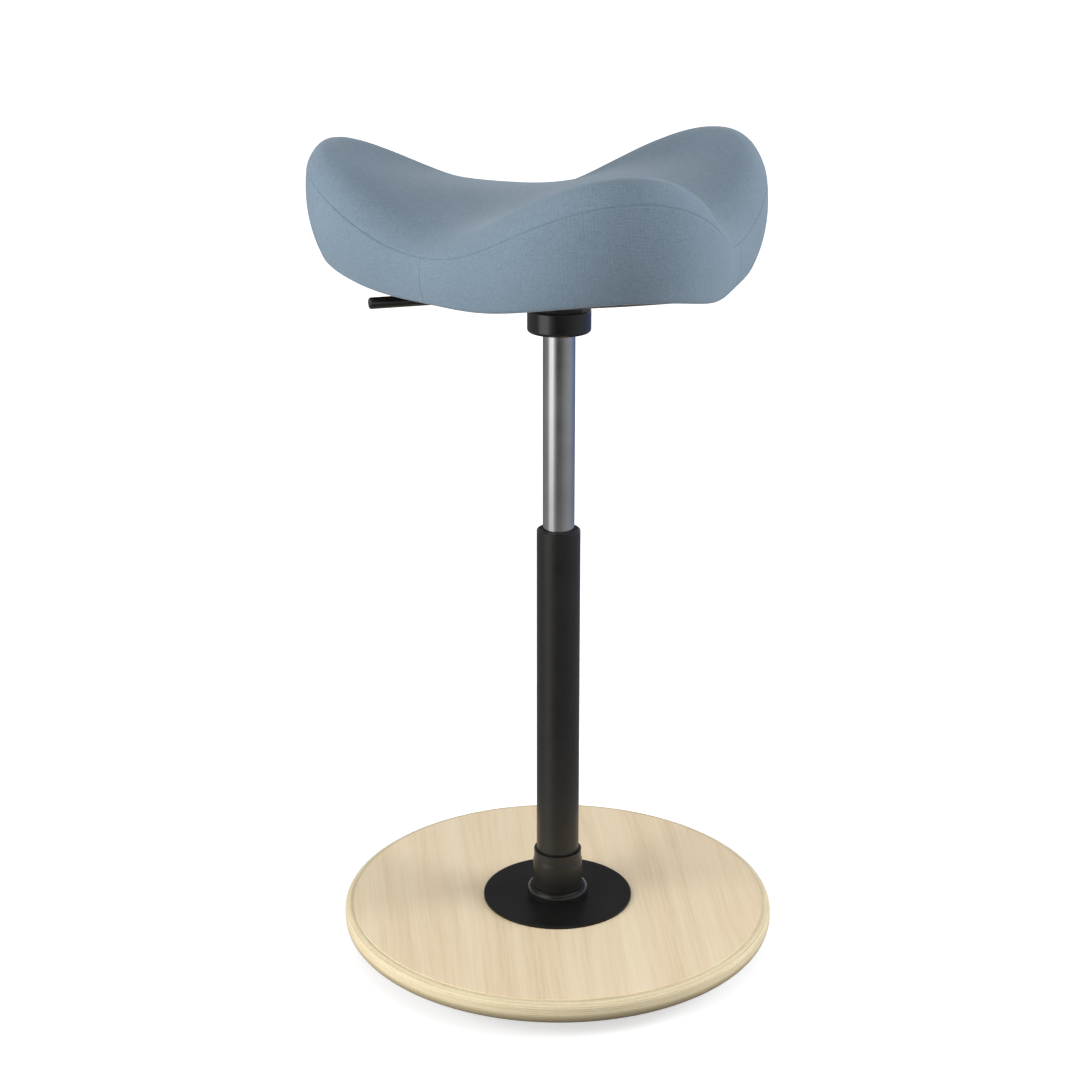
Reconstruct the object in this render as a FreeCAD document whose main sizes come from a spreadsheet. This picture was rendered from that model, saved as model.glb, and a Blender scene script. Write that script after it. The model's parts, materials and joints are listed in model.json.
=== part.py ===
"""Perch stool with a three-lobed upholstered seat, a gas spring column and a rocking wooden foot.

The origin is on the column's axis at the floor, with +Z up. The person who looks at the
photographed side of the stool looks along +Y, with +X to the right. Lengths are in millimetres.
"""
import FreeCAD, Part
import math
import os
import re

import Sketcher

VERTICAL = FreeCAD.Vector(0, 0, 1)
ORIGIN = FreeCAD.Vector(0, 0, 0)

SIZES = {
    # foot
    "base_radius": 204.0,
    "base_thickness": 23.0,
    "base_edge_round": 11.5,
    "veneer_margin": 8.0,
    "shoulder_width": 2.4,
    "veneer_thickness": 1.2,
    "veneer_recess": 0.6,
    "column_hole_radius": 16.0,
    "tilt_ring_radius": 122.0,
    "tilt_ring_width": 14.0,
    "tilt_ring_height": 16.5,
    "tilt_ring_tongue": 3.0,
    "tilt_ring_groove_width": 8.0,
    "ring_screw_count": 6,
    "ring_screw_radius": 2.0,
    "ring_screw_length": 23.0,
    "ring_screw_head_radius": 4.0,
    "ring_screw_head_height": 2.6,
    "ring_screw_sink": 3.0,
    "ring_screw_play": 0.4,
    # flange and its studs
    "flange_radius": 71.0,
    "flange_thickness": 3.0,
    "flange_edge_round": 1.2,
    "flange_bore_play": 1.0,
    "stud_count": 4,
    "stud_circle": 52.0,
    "stud_radius": 4.0,
    "stud_hole_radius": 4.5,
    "stud_showing": 1.0,
    "washer_radius": 11.0,
    "washer_thickness": 1.6,
    "washer_play": 0.2,
    "nut_radius": 7.5,
    "nut_height": 6.5,
    "nut_recess_radius": 12.0,
    "nut_recess_depth": 11.0,
    # socket and stand tube
    "socket_radius": 23.4,
    "socket_height": 46.0,
    "socket_lip_height": 8.0,
    "socket_lip_step": 0.9,
    "socket_lip_slope": 4.0,
    "bead_radius": 29.0,
    "bead_height": 9.0,
    "bead_round": 5.0,
    "tube_radius": 20.0,
    "tube_wall": 2.5,
    "tube_length": 366.3,
    "tube_edge_round": 1.6,
    "tube_floor_thickness": 6.0,
    "bush_length": 90.0,
    "bush_drop": 0.6,
    # thrust bearing, rod and piston
    "race_radius": 14.0,
    "race_thickness": 2.2,
    "ball_count": 12,
    "ball_radius": 2.0,
    "ball_circle": 10.4,
    "ball_play": 0.02,
    "cage_thickness": 1.6,
    "cage_radius": 13.4,
    "cage_bore_radius": 7.4,
    "rod_radius": 5.0,
    "rod_end_radius": 4.0,
    "rod_tail": 9.5,
    "clip_radius": 8.0,
    "clip_thickness": 1.2,
    "clip_washer_radius": 9.5,
    "clip_washer_thickness": 1.5,
    "clip_washer_play": 0.2,
    "bumper_radius": 12.0,
    "bumper_height": 9.0,
    "piston_height": 17.0,
    "piston_seal_radius": 1.2,
    "piston_nut_radius": 8.0,
    "piston_nut_height": 5.0,
    "rod_end_showing": 1.0,
    "running_play": 0.05,
    # gas cylinder, hub and collar
    "cylinder_radius": 14.5,
    "cylinder_wall": 3.0,
    "cylinder_showing": 181.9,
    "cylinder_hidden": 172.0,
    "travel_up": 80.0,
    "stop_gap": 1.5,
    "gland_height": 12.0,
    "taper_start": 5.0,
    "taper_length": 20.0,
    "taper_drop": 0.5,
    "head_thickness": 18.0,
    "button_radius": 3.0,
    "button_length": 16.0,
    "button_gap": 0.4,
    "collar_radius": 28.4,
    "collar_height": 20.3,
    "collar_round": 3.0,
    "collar_floor": 3.0,
    "collar_play": 0.3,
    "hub_radius": 22.0,
    "hub_bottom": 3.5,
    "hub_top": 46.3,
    "hub_slot_width": 10.0,
    "hub_slot_bottom": 26.3,
    "seat_fit": 0.02,
    # mounting plate and lever
    "plate_side": 96.0,
    "plate_corner_round": 12.0,
    "plate_thickness": 4.0,
    "plate_screw_place": 36.0,
    "plate_screw_radius": 3.0,
    "plate_screw_head_radius": 5.5,
    "plate_screw_head_height": 3.3,
    "plate_screw_play": 0.2,
    "plate_screw_tip_gap": 1.0,
    "tnut_radius": 4.2,
    "tnut_flange_radius": 9.0,
    "tnut_flange_thickness": 1.2,
    "lever_direction": 199.0,
    "lever_height": 36.3,
    "lever_radius": 3.5,
    "lever_tail": 6.0,
    "grip_radius": 5.0,
    "grip_inset": 17.5,
    "grip_length": 67.5,
    "grip_cap": 8.0,
    "grip_round": 1.8,
    "knuckle_margin": 2.0,
    "knuckle_play": 0.3,
    "pivot_place": 42.0,
    "pivot_radius": 2.5,
    "pivot_head_radius": 4.0,
    "pivot_head_height": 2.0,
    "pin_showing": 1.0,
    "cheek_gap": 9.0,
    "cheek_thickness": 2.5,
    "cheek_length": 18.0,
    "cheek_below_pivot": 6.0,
    # seat, measured from the underside of the middle of the seat shell
    "front_lobe_direction": -76.0,
    "seam_radius": 189.0,
    "seam_radius_swing": 34.4,
    "seam_radius_fullness": 3.0,
    "seam_rise": 60.0,
    "seam_rise_swing": 29.4,
    "seam_rise_fullness": 3.8,
    "crown_rise": 75.3,
    "crown_power": 2.5,
    "crest_rise": 13.5,
    "crest_swing": 8.4,
    "crest_place": 0.9,
    "hem_rise": 4.5,
    "hem_rise_swing": 9.7,
    "hem_rise_fullness": 2.4,
    "hem_inset": 7.3,
    "hem_inset_swing": 4.6,
    "hem_roundness": 2.4,
    "side_swell": 1.1,
    "cloth_thickness": 1.2,
    "cloth_gap": 0.3,
    "crown_flat_radius": 20.0,
    "shell_thickness": 9.0,
    "shell_flat_radius": 76.0,
    "pan_thickness": 3.0,
    "pan_flat_radius": 36.0,
    "pan_above_collar": 12.6,
    "pan_hub_gap": 0.4,
    "pan_slot_width": 14.0,
    "pan_slot_inset": 23.0,
    "bracket_room": 3.0,
    "pan_screw_count": 6,
    "pan_screw_radius": 1.6,
    "pan_screw_head_radius": 3.2,
    "pan_screw_head_height": 1.8,
    "pan_screw_head_showing": 0.5,
    "pan_screw_bite": 5.0,
    "pan_screw_share": 0.86,
}

BASE_TOP = "(tilt_ring_height + base_thickness)"
VENEER_RADIUS = "(base_radius - veneer_margin)"
FLANGE_TOP = "(tilt_ring_height + base_thickness + flange_thickness)"
TUBE_TOP = "(" + FLANGE_TOP + " + tube_length)"
TUBE_BORE = "(tube_radius - tube_wall)"
FLOOR_TOP = "(" + FLANGE_TOP + " + tube_floor_thickness)"
BALL_BED = "(" + FLOOR_TOP + " + race_thickness)"
BALL_TOP = "(" + BALL_BED + " + 2 * ball_radius + 2 * ball_play)"
ROD_SHOULDER = "(" + BALL_TOP + " + race_thickness)"
COLLAR_BOTTOM = "(" + TUBE_TOP + " + cylinder_showing)"
CYLINDER_BOTTOM = "(" + TUBE_TOP + " - cylinder_hidden)"
CYLINDER_TOP = "(" + COLLAR_BOTTOM + " + taper_start + taper_length)"
CYLINDER_BORE = "(cylinder_radius - cylinder_wall)"
PISTON_BOTTOM = "(" + CYLINDER_BOTTOM + " + gland_height + travel_up + stop_gap)"
PISTON_TOP = "(" + PISTON_BOTTOM + " + piston_height)"
PLATE_BOTTOM = "(" + COLLAR_BOTTOM + " + hub_top)"
SHELL_BOTTOM = "(" + PLATE_BOTTOM + " + plate_thickness)"
PAN_BOTTOM = "(" + COLLAR_BOTTOM + " + collar_height + pan_above_collar)"
LEVER_AXIS = "(" + COLLAR_BOTTOM + " + lever_height)"
GRIP_END = "(seam_radius - grip_inset)"
GRIP_START = "(" + GRIP_END + " - grip_length)"
LEVER_END = "(" + GRIP_END + " - grip_cap)"

ARC_COUNT = 12
LOFT_DEGREE = 3
CROWN_SHARES = (0.25, 0.45, 0.62, 0.75, 0.84, 0.91, 0.96, 1.0)
SIDE_SHARES = (0.0, 0.25, 0.5, 0.75, 1.0)
FOAM_END = 0.80
SHELL_START = 0.82
SHELL_END = 0.93
PAN_START = 0.95
DISH_SHARES = (0.25, 0.5, 0.75, 1.0)
SHELL_POWER = 2
PAN_POWER = 1.5

doc = FreeCAD.newDocument("perch_stool")
sheet = doc.addObject("Spreadsheet::Sheet", "sizes")
for row, (alias, number) in enumerate(SIZES.items(), start=1):
    sheet.set("A%d" % row, alias)
    sheet.set("B%d" % row, str(number))
    sheet.setAlias("B%d" % row, alias)
doc.recompute()
parts = []


def bind(text):
    """Turns a formula of size names into one that reads the sheet's cells."""
    def cell(word):
        return "sizes." + word.group(0) if word.group(0) in SIZES else word.group(0)
    return re.sub(r"[a-z_]+", cell, text)


def value(text):
    return float(sheet.evalExpression(bind(str(text))))


def keep(item):
    """Lists a finished sub-part; its Label names its file."""
    parts.append(item)
    return item


def origin_plane(body, role):
    return next(plane for plane in body.Origin.OriginFeatures if plane.Role == role)


def outlined_sketch(body, role, corners):
    """A closed outline in one of the body's own planes, each corner held by two formulas."""
    sketch = body.newObject("Sketcher::SketchObject", body.Name + "_outline")
    sketch.AttachmentSupport = [(origin_plane(body, role), "")]
    sketch.MapMode = "FlatFace"
    points = [FreeCAD.Vector(value(across), value(up), 0) for across, up in corners]
    for index, start in enumerate(points):
        sketch.addGeometry(Part.LineSegment(start, points[(index + 1) % len(points)]), False)
    from_origin = (-1, 1)
    for index, (across, up) in enumerate(corners):
        following = (index + 1) % len(corners)
        sketch.addConstraint(Sketcher.Constraint("Coincident", index, 2, following, 1))
        if abs(points[index].x) < 1e-9:
            sketch.addConstraint(Sketcher.Constraint("PointOnObject", index, 1, -2))
        else:
            place = sketch.addConstraint(
                Sketcher.Constraint("DistanceX", *from_origin, index, 1, points[index].x))
            sketch.setExpression("Constraints[%d]" % place, bind(across))
        if abs(points[index].y) < 1e-9:
            sketch.addConstraint(Sketcher.Constraint("PointOnObject", index, 1, -1))
        else:
            place = sketch.addConstraint(
                Sketcher.Constraint("DistanceY", *from_origin, index, 1, points[index].y))
            sketch.setExpression("Constraints[%d]" % place, bind(up))
    return sketch


def turned(label, corners):
    """A piece turned on the column's axis, from corners of (radius, height)."""
    body = doc.addObject("PartDesign::Body", label)
    section = outlined_sketch(body, "XZ_Plane", corners)
    turn = body.newObject("PartDesign::Revolution", label + "_turn")
    turn.Profile = section
    turn.ReferenceAxis = (section, ["V_Axis"])
    turn.Angle = 360
    doc.recompute()
    return body


def ring(label, inner, outer, bottom, top):
    return turned(label, ((inner, bottom), (outer, bottom), (outer, top), (inner, top)))


def disc(label, outer, bottom, top):
    return turned(label, (("0", bottom), (outer, bottom), (outer, top), ("0", top)))


def round_edges(body, size, circles):
    """Fillets the circular edges at each (radius, height)."""
    names = []
    before = body.Tip
    for radius, height in circles:
        for index, edge in enumerate(before.Shape.Edges, start=1):
            is_circle = edge.Curve.TypeId == "Part::GeomCircle" and edge.isClosed()
            if is_circle and abs(edge.Curve.Radius - value(radius)) < 1e-4:
                if abs(edge.Curve.Center.z - value(height)) < 1e-4:
                    names.append("Edge%d" % index)
    fillet = body.newObject("PartDesign::Fillet", body.Name + "_round")
    fillet.Base = (before, names)
    fillet.setExpression("Radius", bind(size))
    body.Tip = fillet
    doc.recompute()
    return fillet


def cylinder(name, radius, length, place, turn=None):
    item = doc.addObject("Part::Cylinder", name)
    item.setExpression("Radius", bind(radius))
    item.setExpression("Height", bind(length))
    item.Placement = FreeCAD.Placement(place, turn or FreeCAD.Rotation())
    return item


def box(name, length, width, height, place, turn=None):
    item = doc.addObject("Part::Box", name)
    item.setExpression("Length", bind(length))
    item.setExpression("Width", bind(width))
    item.setExpression("Height", bind(height))
    item.Placement = FreeCAD.Placement(place, turn or FreeCAD.Rotation())
    return item


def fused(label, items):
    item = doc.addObject("Part::MultiFuse", label)
    item.Shapes = items
    doc.recompute()
    return item


def group(label, items):
    """Like fasteners kept together as separate solids."""
    item = doc.addObject("Part::Compound", label)
    item.Links = items
    doc.recompute()
    return item


def cut(label, base, tool):
    item = doc.addObject("Part::Cut", label)
    item.Base = base
    item.Tool = tool
    doc.recompute()
    return item


def around(count, radius, height, start=0.0):
    """Places evenly spaced on a circle about the column's axis."""
    number = int(round(value(count)))
    for index in range(number):
        angle = math.radians(start + 360.0 * index / number)
        yield FreeCAD.Vector(value(radius) * math.cos(angle), value(radius) * math.sin(angle), value(height))


def shaped(label, shape):
    item = doc.addObject("Part::Feature", label)
    item.Shape = shape
    return item


# foot

def build_tilt_ring():
    """Rubber ring that carries the stool, keyed into a groove of the disc."""
    middle = "(tilt_ring_radius - tilt_ring_width / 2)"
    half_key = "(tilt_ring_groove_width / 2)"
    blank = turned("tilt_ring_blank", (
        ("tilt_ring_radius - tilt_ring_width", "0"),
        ("tilt_ring_radius", "0"),
        ("tilt_ring_radius", "tilt_ring_height"),
        (middle + " + " + half_key, "tilt_ring_height"),
        (middle + " + " + half_key, "tilt_ring_height + tilt_ring_tongue"),
        (middle + " - " + half_key, "tilt_ring_height + tilt_ring_tongue"),
        (middle + " - " + half_key, "tilt_ring_height"),
        ("tilt_ring_radius - tilt_ring_width", "tilt_ring_height")))
    sinks = [cylinder("ring_sink", "ring_screw_head_radius + ring_screw_play",
                      "ring_screw_sink + ring_screw_head_height", place)
             for place in around("ring_screw_count", middle, "0")]
    bores = [cylinder("ring_bore", "ring_screw_radius", "tilt_ring_height + tilt_ring_tongue", place)
             for place in around("ring_screw_count", middle, "0")]
    keep(cut("tilt_ring", blank, fused("tilt_ring_holes", sinks + bores)))
    screws = []
    for place in around("ring_screw_count", middle, "ring_screw_sink"):
        head = cylinder("ring_screw_head", "ring_screw_head_radius", "ring_screw_head_height", place)
        shank = cylinder("ring_screw_shank", "ring_screw_radius", "ring_screw_length", place)
        screws.append(fused("ring_screw", [head, shank]))
    keep(group("ring_screws", screws))


def build_base():
    """Plywood disc with a rounded edge, and the face veneer let onto it."""
    middle = "(tilt_ring_radius - tilt_ring_width / 2)"
    half_key = "(tilt_ring_groove_width / 2)"
    top = BASE_TOP + " - veneer_recess"
    blank = turned("base_blank", (
        ("column_hole_radius", "tilt_ring_height"),
        (middle + " - " + half_key, "tilt_ring_height"),
        (middle + " - " + half_key, "tilt_ring_height + tilt_ring_tongue"),
        (middle + " + " + half_key, "tilt_ring_height + tilt_ring_tongue"),
        (middle + " + " + half_key, "tilt_ring_height"),
        ("base_radius", "tilt_ring_height"),
        ("base_radius", top),
        (VENEER_RADIUS, top),
        (VENEER_RADIUS, BASE_TOP + " - veneer_thickness"),
        ("column_hole_radius", BASE_TOP + " - veneer_thickness")))
    round_edges(blank, "veneer_margin - shoulder_width", (("base_radius", top),))
    round_edges(blank, "base_edge_round", (("base_radius", "tilt_ring_height"),))
    holes = [cylinder("base_stud_hole", "stud_hole_radius", "base_thickness", place)
             for place in around("stud_count", "stud_circle", "tilt_ring_height", 45.0)]
    recesses = [cylinder("base_nut_recess", "nut_recess_radius", "nut_recess_depth", place)
                for place in around("stud_count", "stud_circle", "tilt_ring_height", 45.0)]
    pilots = [cylinder("base_pilot", "ring_screw_radius", "ring_screw_length", place)
              for place in around("ring_screw_count", middle, "ring_screw_sink")]
    keep(cut("base_disc", blank, fused("base_holes", holes + recesses + pilots)))
    veneer = ring("veneer_blank", "column_hole_radius", VENEER_RADIUS, BASE_TOP + " - veneer_thickness", BASE_TOP)
    stud_holes = [cylinder("veneer_stud_hole", "stud_hole_radius", "base_thickness", place)
                  for place in around("stud_count", "stud_circle", "tilt_ring_height", 45.0)]
    keep(cut("top_veneer", veneer, fused("veneer_holes", stud_holes)))


def build_flange():
    """Steel flange with welded studs, held by nuts in recesses under the disc."""
    bore = "clip_washer_radius + flange_bore_play"
    flange = ring("flange_plate", bore, "flange_radius", BASE_TOP, FLANGE_TOP)
    round_edges(flange, "flange_edge_round", (("flange_radius", FLANGE_TOP),))
    keep(flange)
    recess_top = "tilt_ring_height + nut_recess_depth"
    stud_bottom = recess_top + " - washer_thickness - nut_height - stud_showing"
    keep(group("flange_studs", [
        cylinder("flange_stud", "stud_radius", BASE_TOP + " - (" + stud_bottom + ")", place)
        for place in around("stud_count", "stud_circle", stud_bottom, 45.0)]))
    washers = []
    nuts = []
    for place in around("stud_count", "stud_circle", recess_top + " - washer_thickness", 45.0):
        plate = cylinder("base_washer_blank", "washer_radius", "washer_thickness", place)
        bore = cylinder("base_washer_bore", "stud_radius + washer_play", "washer_thickness", place)
        washers.append(cut("base_washer", plate, bore))
    for place in around("stud_count", "stud_circle", recess_top + " - washer_thickness - nut_height", 45.0):
        hexagon = doc.addObject("Part::Prism", "base_nut_blank")
        hexagon.Polygon = 6
        hexagon.setExpression("Circumradius", bind("nut_radius"))
        hexagon.setExpression("Height", bind("nut_height"))
        hexagon.Placement = FreeCAD.Placement(place, FreeCAD.Rotation())
        bore = cylinder("base_nut_bore", "stud_radius", "nut_height", place)
        nuts.append(cut("base_nut", hexagon, bore))
    keep(group("base_washers", washers))
    keep(group("base_nuts", nuts))


def build_stand_tube():
    """Socket on the flange, the stand tube pressed into it, its floor and its guide bush."""
    top = FLANGE_TOP + " + socket_height"
    keep(turned("socket_sleeve", (
        ("tube_radius", FLANGE_TOP),
        ("socket_radius", FLANGE_TOP),
        ("socket_radius", top + " - socket_lip_height - socket_lip_slope"),
        ("socket_radius - socket_lip_step", top + " - socket_lip_height"),
        ("socket_radius - socket_lip_step", top),
        ("tube_radius", top))))
    bead = ring("weld_bead", "socket_radius", "bead_radius", FLANGE_TOP, FLANGE_TOP + " + bead_height")
    round_edges(bead, "bead_round", (("bead_radius", FLANGE_TOP + " + bead_height"),))
    keep(bead)
    tube = ring("outer_tube", TUBE_BORE, "tube_radius", FLANGE_TOP, TUBE_TOP)
    round_edges(tube, "tube_edge_round", (("tube_radius", TUBE_TOP),))
    keep(tube)
    keep(ring("tube_floor", "rod_end_radius + running_play", TUBE_BORE, FLANGE_TOP, FLOOR_TOP))
    keep(ring("guide_bush", "cylinder_radius + running_play", TUBE_BORE,
              TUBE_TOP + " - bush_drop - bush_length", TUBE_TOP + " - bush_drop"))


# thrust bearing, piston rod and piston

def build_bearing():
    keep(ring("lower_race", "rod_end_radius + running_play", "race_radius", FLOOR_TOP, BALL_BED))
    keep(ring("upper_race", "rod_end_radius + seat_fit", "race_radius", BALL_TOP, ROD_SHOULDER))
    ball_height = BALL_BED + " + ball_radius + ball_play"
    bottom = ball_height + " - cage_thickness / 2"
    blank = ring("bearing_cage_blank", "cage_bore_radius", "cage_radius", bottom, bottom + " + cage_thickness")
    pockets = [cylinder("cage_pocket", "ball_radius + ball_play", "cage_thickness", place)
               for place in around("ball_count", "ball_circle", bottom)]
    keep(cut("bearing_cage", blank, fused("cage_pockets", pockets)))
    balls = []
    for place in around("ball_count", "ball_circle", ball_height):
        ball = doc.addObject("Part::Sphere", "bearing_ball")
        ball.setExpression("Radius", bind("ball_radius"))
        ball.Placement = FreeCAD.Placement(place, FreeCAD.Rotation())
        balls.append(ball)
    keep(group("bearing_balls", balls))


def build_rod():
    """Rod that stands on the bearing, with its clip below the floor and the piston on top."""
    tail = FLANGE_TOP + " - rod_tail"
    keep(turned("piston_rod", (
        ("0", tail),
        ("rod_end_radius", tail),
        ("rod_end_radius", ROD_SHOULDER),
        ("rod_radius", ROD_SHOULDER),
        ("rod_radius", PISTON_BOTTOM),
        ("rod_end_radius", PISTON_BOTTOM),
        ("rod_end_radius", PISTON_TOP + " + piston_nut_height + rod_end_showing"),
        ("0", PISTON_TOP + " + piston_nut_height + rod_end_showing"))))
    washer_top = FLANGE_TOP + " - clip_washer_play"
    washer_bottom = washer_top + " - clip_washer_thickness"
    keep(ring("clip_washer", "rod_end_radius", "clip_washer_radius", washer_bottom, washer_top))
    clip = ring("clip_blank", "rod_end_radius", "clip_radius", washer_bottom + " - clip_thickness", washer_bottom)
    gap = box("clip_gap", "2 * clip_radius", "rod_end_radius", "3 * clip_thickness",
              FreeCAD.Vector(0, -value("rod_end_radius") / 2, value(washer_bottom + " - 2 * clip_thickness")))
    keep(cut("retaining_clip", clip, gap))
    bumper = ring("rubber_bumper", "rod_radius", "bumper_radius", ROD_SHOULDER, ROD_SHOULDER + " + bumper_height")
    round_edges(bumper, "bumper_height / 4", (("bumper_radius", ROD_SHOULDER + " + bumper_height"),))
    keep(bumper)
    middle = "(" + PISTON_BOTTOM + " + piston_height / 2)"
    skirt = CYLINDER_BORE + " - running_play"
    keep(turned("piston", (
        ("rod_end_radius", PISTON_BOTTOM),
        (skirt, PISTON_BOTTOM),
        (skirt, middle + " - piston_seal_radius"),
        (skirt + " - piston_seal_radius", middle + " - piston_seal_radius"),
        (skirt + " - piston_seal_radius", middle + " + piston_seal_radius"),
        (skirt, middle + " + piston_seal_radius"),
        (skirt, PISTON_TOP),
        ("rod_end_radius", PISTON_TOP))))
    keep(ring("piston_seal", skirt + " - piston_seal_radius", skirt,
              middle + " - piston_seal_radius", middle + " + piston_seal_radius"))
    nut = doc.addObject("Part::Prism", "piston_nut_blank")
    nut.Polygon = 6
    nut.setExpression("Circumradius", bind("piston_nut_radius"))
    nut.setExpression("Height", bind("piston_nut_height"))
    nut.Placement = FreeCAD.Placement(VERTICAL * value(PISTON_TOP), FreeCAD.Rotation())
    bore = cylinder("piston_nut_bore", "rod_end_radius", "piston_nut_height", VERTICAL * value(PISTON_TOP))
    keep(cut("piston_nut", nut, bore))


# gas cylinder, hub and collar

def build_cylinder():
    taper_from = COLLAR_BOTTOM + " + taper_start"
    head = CYLINDER_TOP + " - head_thickness"
    button_bottom = LEVER_AXIS + " - lever_radius - button_gap - button_length"
    keep(turned("gas_cylinder", (
        (CYLINDER_BORE, CYLINDER_BOTTOM),
        ("cylinder_radius", CYLINDER_BOTTOM),
        ("cylinder_radius", taper_from),
        ("cylinder_radius - taper_drop", CYLINDER_TOP),
        ("button_radius + running_play", CYLINDER_TOP),
        ("button_radius + running_play", head),
        (CYLINDER_BORE, head))))
    keep(ring("cylinder_gland", "rod_radius + running_play", CYLINDER_BORE,
              CYLINDER_BOTTOM, CYLINDER_BOTTOM + " + gland_height"))
    button = disc("release_button", "button_radius", button_bottom, button_bottom + " + button_length")
    round_edges(button, "button_radius / 4", (("button_radius", button_bottom + " + button_length"),))
    keep(button)


def build_hub():
    """Steel hub with a tapered bore and a slot for the lever, inside the collar."""
    bottom = COLLAR_BOTTOM + " + hub_bottom"
    wide = "cylinder_radius + seat_fit"
    hub = turned("hub_blank", (
        (wide, bottom),
        ("hub_radius", bottom),
        ("hub_radius", PLATE_BOTTOM),
        (wide + " - taper_drop", PLATE_BOTTOM),
        (wide + " - taper_drop", CYLINDER_TOP),
        (wide, COLLAR_BOTTOM + " + taper_start")))
    turn = FreeCAD.Rotation(VERTICAL, value("lever_direction"))
    corner = FreeCAD.Vector(0, -value("hub_slot_width") / 2, value(COLLAR_BOTTOM + " + hub_slot_bottom"))
    slot = box("hub_slot", "2 * hub_radius", "hub_slot_width", "hub_top", turn.multVec(corner), turn)
    keep(cut("taper_hub", hub, slot))
    collar = turned("hub_collar", (
        ("cylinder_radius + collar_play", COLLAR_BOTTOM),
        ("collar_radius", COLLAR_BOTTOM),
        ("collar_radius", COLLAR_BOTTOM + " + collar_height"),
        ("hub_radius", COLLAR_BOTTOM + " + collar_height"),
        ("hub_radius", COLLAR_BOTTOM + " + collar_floor"),
        ("cylinder_radius + collar_play", COLLAR_BOTTOM + " + collar_floor")))
    round_edges(collar, "collar_round", (("collar_radius", COLLAR_BOTTOM),))
    round_edges(collar, "collar_round / 3", (("collar_radius", COLLAR_BOTTOM + " + collar_height"),))
    keep(collar)


def plate_corners(height, start=0.0):
    reach = value("plate_screw_place")
    for across, along in ((1, 1), (-1, 1), (-1, -1), (1, -1)):
        yield FreeCAD.Vector(across * reach, along * reach, value(height) + start)


def build_plate():
    """Square steel plate welded on the hub, screwed up into T-nuts in the seat shell."""
    side = value("plate_side")
    blank = box("plate_blank", "plate_side", "plate_side", "plate_thickness",
                FreeCAD.Vector(-side / 2, -side / 2, value(PLATE_BOTTOM)))
    doc.recompute()
    rounded = doc.addObject("Part::Fillet", "plate_rounded")
    rounded.Base = blank
    corner = value("plate_corner_round")
    rounded.Edges = [(index, corner, corner) for index, edge in enumerate(blank.Shape.Edges, start=1)
                     if abs(edge.Vertexes[0].Z - edge.Vertexes[1].Z) > 1e-6]
    holes = [cylinder("plate_hole", "plate_screw_radius + plate_screw_play", "plate_thickness", place)
             for place in plate_corners(PLATE_BOTTOM)]
    keep(cut("seat_plate", rounded, fused("plate_holes", holes)))
    screws = []
    nuts = []
    for place in plate_corners(PLATE_BOTTOM + " - plate_screw_head_height"):
        head = cylinder("plate_screw_head", "plate_screw_head_radius", "plate_screw_head_height", place)
        shank = cylinder("plate_screw_shank", "plate_screw_radius",
                         "plate_screw_head_height + plate_thickness + shell_thickness - plate_screw_tip_gap",
                         place)
        screws.append(fused("plate_screw", [head, shank]))
    for place in plate_corners(SHELL_BOTTOM):
        barrel = cylinder("tnut_barrel", "tnut_radius", "shell_thickness", place)
        rise = VERTICAL * (value("shell_thickness") - value("tnut_flange_thickness"))
        flange = cylinder("tnut_flange", "tnut_flange_radius", "tnut_flange_thickness", place + rise)
        bore = cylinder("tnut_bore", "plate_screw_radius", "shell_thickness", place)
        nuts.append(cut("tnut", fused("tnut_blank", [barrel, flange]), bore))
    keep(group("plate_screws", screws))
    keep(group("shell_tnuts", nuts))


# release lever, modelled along its own direction

def along_lever(distance, aside, height):
    """A place at a distance along the lever, a step aside of it and a height."""
    turn = FreeCAD.Rotation(VERTICAL, value("lever_direction"))
    return turn.multVec(FreeCAD.Vector(distance, aside, height))


def lever_turn(tilt_axis=None):
    turn = FreeCAD.Rotation(VERTICAL, value("lever_direction"))
    if tilt_axis is None:
        return turn
    return turn.multiply(FreeCAD.Rotation(tilt_axis, 90))


def build_lever():
    axis_height = value(LEVER_AXIS)
    lengthwise = lever_turn(FreeCAD.Vector(0, 1, 0))
    crosswise = lever_turn(FreeCAD.Vector(-1, 0, 0))
    start = along_lever(-value("lever_tail"), 0, axis_height)
    rod = cylinder("lever_rod", "lever_radius", "lever_tail + " + LEVER_END, start, lengthwise)
    knuckle_half = value("cheek_gap / 2 - knuckle_play")
    knuckle = cylinder("lever_knuckle", "lever_radius + knuckle_margin", "cheek_gap - 2 * knuckle_play",
                       along_lever(value("pivot_place"), -knuckle_half, axis_height), crosswise)
    bore = cylinder("lever_bore", "pivot_radius + running_play", "2 * cheek_gap",
                    along_lever(value("pivot_place"), -value("cheek_gap"), axis_height), crosswise)
    keep(cut("release_lever", fused("lever_blank", [rod, knuckle]), bore))
    grip_blank = cylinder("grip_blank", "grip_radius", "grip_length",
                          along_lever(value(GRIP_START), 0, axis_height), lengthwise)
    doc.recompute()
    grip_rounded = doc.addObject("Part::Fillet", "grip_rounded")
    grip_rounded.Base = grip_blank
    outer = along_lever(value(GRIP_END), 0, axis_height)
    outer_round = value("grip_round")
    inner_round = value("grip_round / 2")
    grip_rounded.Edges = [
        (index, outer_round, outer_round) if edge.Curve.Center.distanceToPoint(outer) < 1e-4
        else (index, inner_round, inner_round)
        for index, edge in enumerate(grip_blank.Shape.Edges, start=1)
        if edge.Curve.TypeId == "Part::GeomCircle"]
    grip_bore = cylinder("grip_bore", "lever_radius", LEVER_END + " - " + GRIP_START,
                         along_lever(value(GRIP_START), 0, axis_height), lengthwise)
    keep(cut("lever_grip", grip_rounded, grip_bore))


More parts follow.
